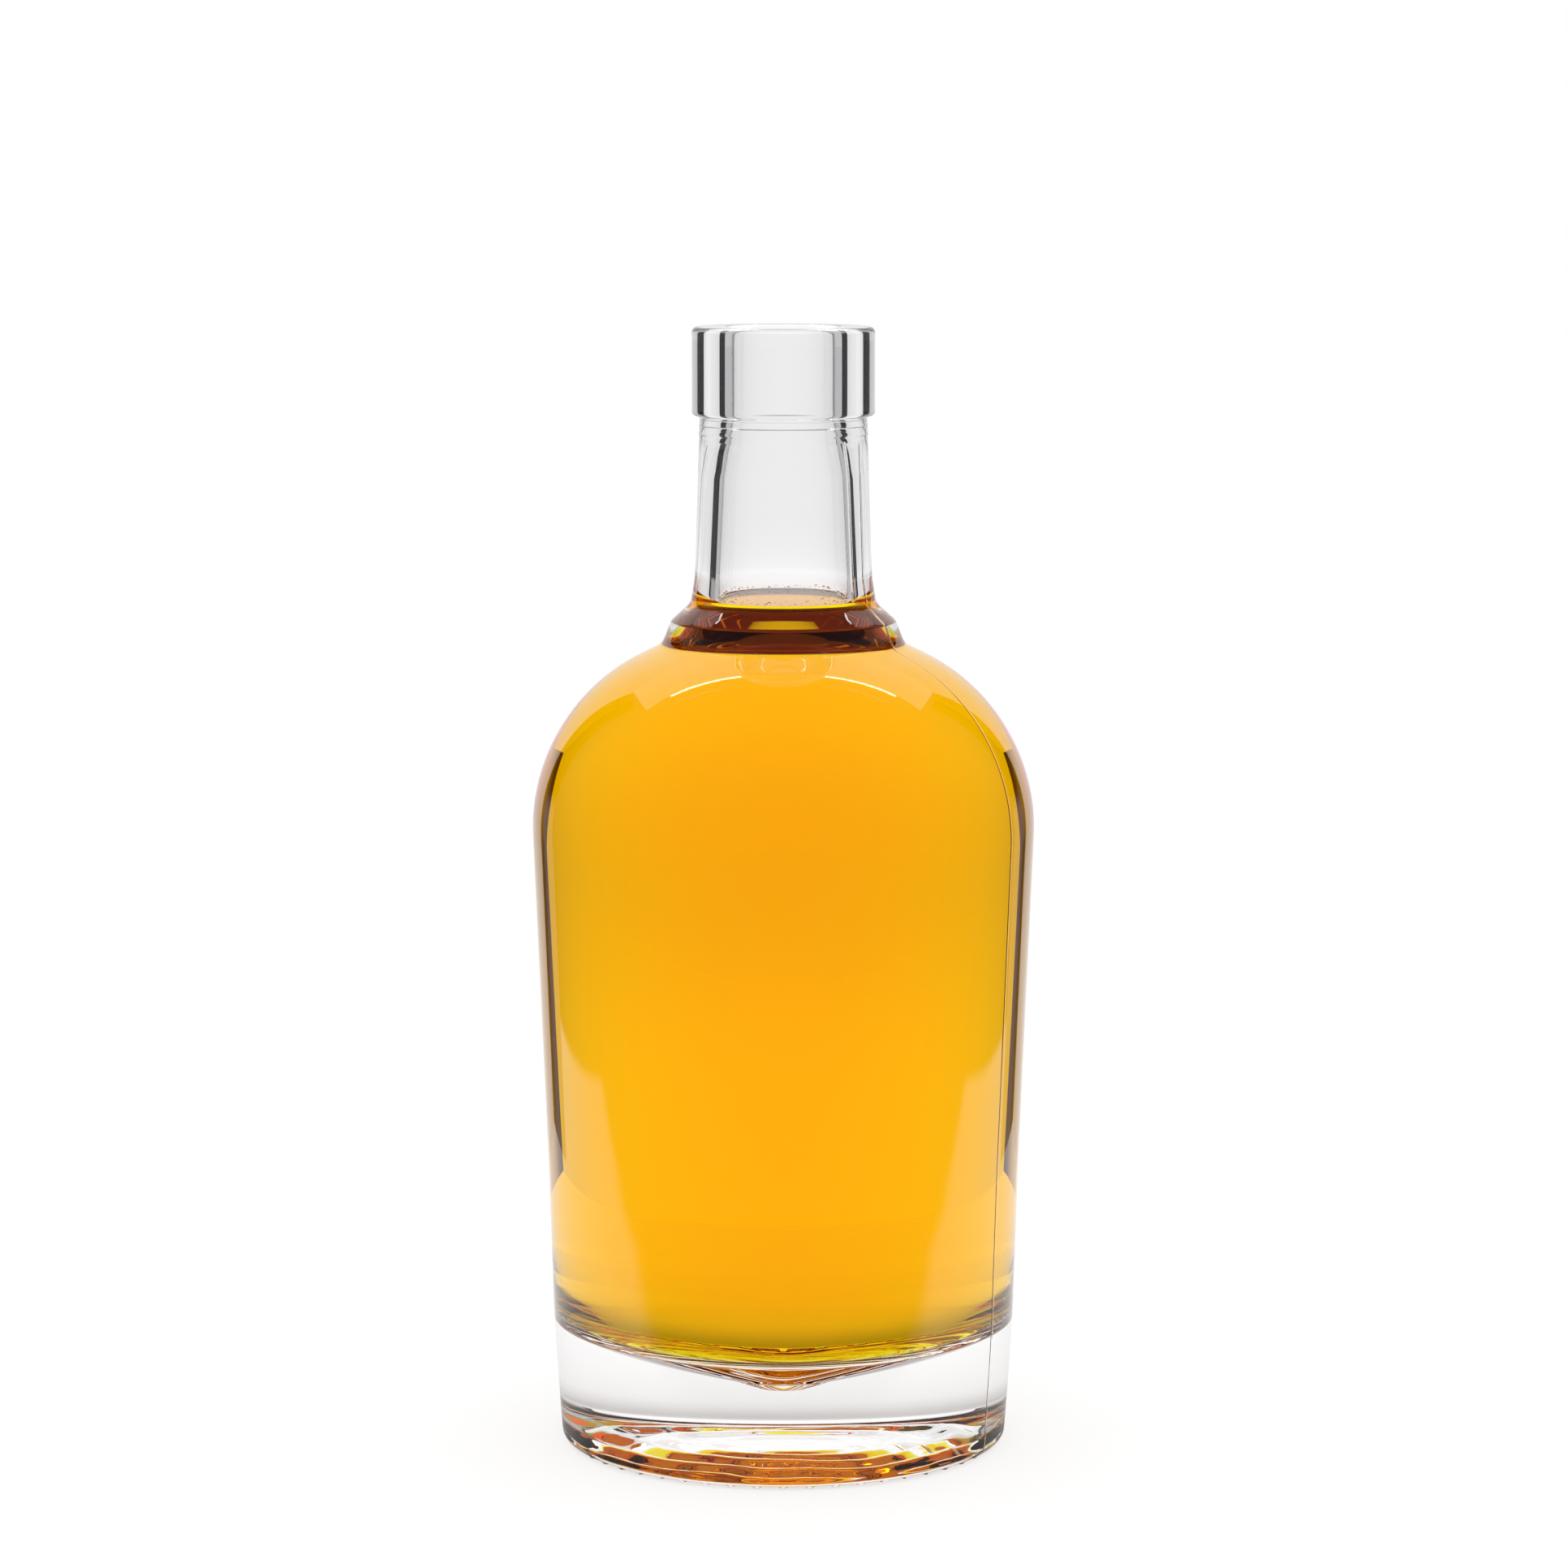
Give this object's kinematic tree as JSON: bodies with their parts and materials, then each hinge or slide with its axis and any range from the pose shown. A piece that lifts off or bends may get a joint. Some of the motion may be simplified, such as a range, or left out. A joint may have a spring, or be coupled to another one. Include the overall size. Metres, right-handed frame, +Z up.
{
  "type": "glass bottle",
  "caption": "Clear glass spirits bottle with round shoulders, a low neck collar, a plain cork finish and a thick base, filled with an amber drink.",
  "frame": {"origin": "on the floor, in the middle of the ring of knurls that the bottle stands on", "axes": "+Z up along the bottle's axis; the bottle is round, so +X and +Y are free"},
  "size_m": [0.087, 0.087, 0.1945],
  "materials": {
    "clear_glass": "clear blown glass with a smooth gloss",
    "amber_drink": "clear amber liquid"
  },
  "bodies": {
    "root": {"bottle": "clear_glass", "drink": "amber_drink"}
  },
  "joints": []
}
